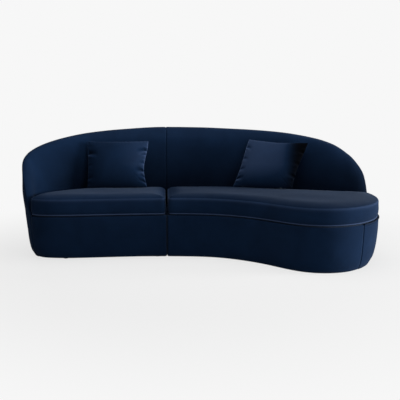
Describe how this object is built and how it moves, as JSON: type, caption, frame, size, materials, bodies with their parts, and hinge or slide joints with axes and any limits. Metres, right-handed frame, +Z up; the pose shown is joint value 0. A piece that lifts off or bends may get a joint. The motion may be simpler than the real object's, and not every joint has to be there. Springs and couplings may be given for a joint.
{
  "type": "curved chaise sofa",
  "caption": "Curved low-back sofa in two joined modules with a rounded chaise end, loose boxed seat cushions, throw cushions and short hidden glide feet.",
  "frame": {"origin": "on the floor, under the middle of the sofa's own box", "axes": "+X to the right as seen from the front, +Y to the back, +Z up"},
  "size_m": [2.4316, 1.0745, 0.857],
  "materials": {
    "velvet": "deep short pile, dark navy",
    "padding": "matte white wadding",
    "foam": "open-cell foam, pale yellow",
    "plywood": "raw birch plywood",
    "card": "grey-brown lining board",
    "spring_steel": "drawn wire, oiled",
    "clip_plastic": "moulded, off-white",
    "deck": "non-woven cloth, dark grey",
    "dust_cloth": "non-woven cloth, black",
    "foot_plastic": "moulded, black",
    "zinc_screw": "zinc plated",
    "bracket_steel": "black powder coat",
    "tape": "woven zip tape with coil, navy",
    "slider_metal": "dark coated zinc alloy"
  },
  "bodies": {
    "left_module": {"left_base_cover": "velvet", "left_base_padding": "padding", "left_base_board": "plywood", "left_bottom_ring": "plywood", "left_cross_slats": "plywood", "left_seat_ring": "plywood", "left_posts": "plywood", "left_back_ribs": "plywood", "left_back_board": "plywood", "left_back_liner": "card", "left_top_rail": "plywood", "left_back_foam": "foam", "left_back_cover": "velvet", "left_springs": "spring_steel", "left_spring_clips": "clip_plastic", "left_deck_cloth": "deck", "left_dust_cover": "dust_cloth", "left_feet": "foot_plastic", "left_screws": "zinc_screw", "left_connectors": "bracket_steel"},
    "left_seat_cushion": {"left_seat_foam": "foam", "left_seat_cover": "velvet", "left_seat_welt": "velvet", "left_seat_zip": "tape"},
    "left_seat_zip_slider": {"left_seat_slider": "slider_metal"},
    "left_throw_cushion": {"left_throw_filling": "padding", "left_throw_cover": "velvet", "left_throw_zip": "tape"},
    "left_throw_zip_slider": {"left_throw_slider": "slider_metal"},
    "right_module": {"right_base_cover": "velvet", "right_base_padding": "padding", "right_base_board": "plywood", "right_bottom_ring": "plywood", "right_cross_slats": "plywood", "right_seat_ring": "plywood", "right_posts": "plywood", "right_back_ribs": "plywood", "right_back_board": "plywood", "right_back_liner": "card", "right_top_rail": "plywood", "right_back_foam": "foam", "right_back_cover": "velvet", "right_springs": "spring_steel", "right_spring_clips": "clip_plastic", "right_deck_cloth": "deck", "right_dust_cover": "dust_cloth", "right_feet": "foot_plastic", "right_screws": "zinc_screw", "right_connectors": "bracket_steel"},
    "right_seat_cushion": {"right_seat_foam": "foam", "right_seat_cover": "velvet", "right_seat_welt": "velvet", "right_seat_zip": "tape"},
    "right_seat_zip_slider": {"right_seat_slider": "slider_metal"},
    "right_throw_cushion": {"right_throw_filling": "padding", "right_throw_cover": "velvet", "right_throw_zip": "tape"},
    "right_throw_zip_slider": {"right_throw_slider": "slider_metal"}
  },
  "joints": [
    {"name": "modules_apart", "type": "slide", "parent": "left_module", "child": "right_module", "axis": [0.9986, 0.0523, 0], "range_m": [0, 0.4]},
    {"name": "left_seat_cushion_lift", "type": "slide", "parent": "left_module", "child": "left_seat_cushion", "axis": [0, 0, 1], "range_m": [0, 0.6]},
    {"name": "left_seat_zip_run", "type": "slide", "parent": "left_seat_cushion", "child": "left_seat_zip_slider", "axis": [0.0523, -0.9986, 0], "range_m": [0, 0.34]},
    {"name": "left_throw_cushion_lift", "type": "slide", "parent": "left_seat_cushion", "child": "left_throw_cushion", "axis": [0, 0, 1], "range_m": [0, 0.45]},
    {"name": "left_throw_zip_run", "type": "slide", "parent": "left_throw_cushion", "child": "left_throw_zip_slider", "axis": [-0.9976, -0.0698, 0], "range_m": [0, 0.27]},
    {"name": "right_seat_cushion_lift", "type": "slide", "parent": "right_module", "child": "right_seat_cushion", "axis": [0, 0, 1], "range_m": [0, 0.6]},
    {"name": "right_seat_zip_run", "type": "slide", "parent": "right_seat_cushion", "child": "right_seat_zip_slider", "axis": [0.0523, -0.9986, 0], "range_m": [0, 0.34]},
    {"name": "right_throw_cushion_lift", "type": "slide", "parent": "right_seat_cushion", "child": "right_throw_cushion", "axis": [0, 0, 1], "range_m": [0, 0.45]},
    {"name": "right_throw_zip_run", "type": "slide", "parent": "right_throw_cushion", "child": "right_throw_zip_slider", "axis": [-0.9511, 0.309, 0], "range_m": [0, 0.27]}
  ]
}
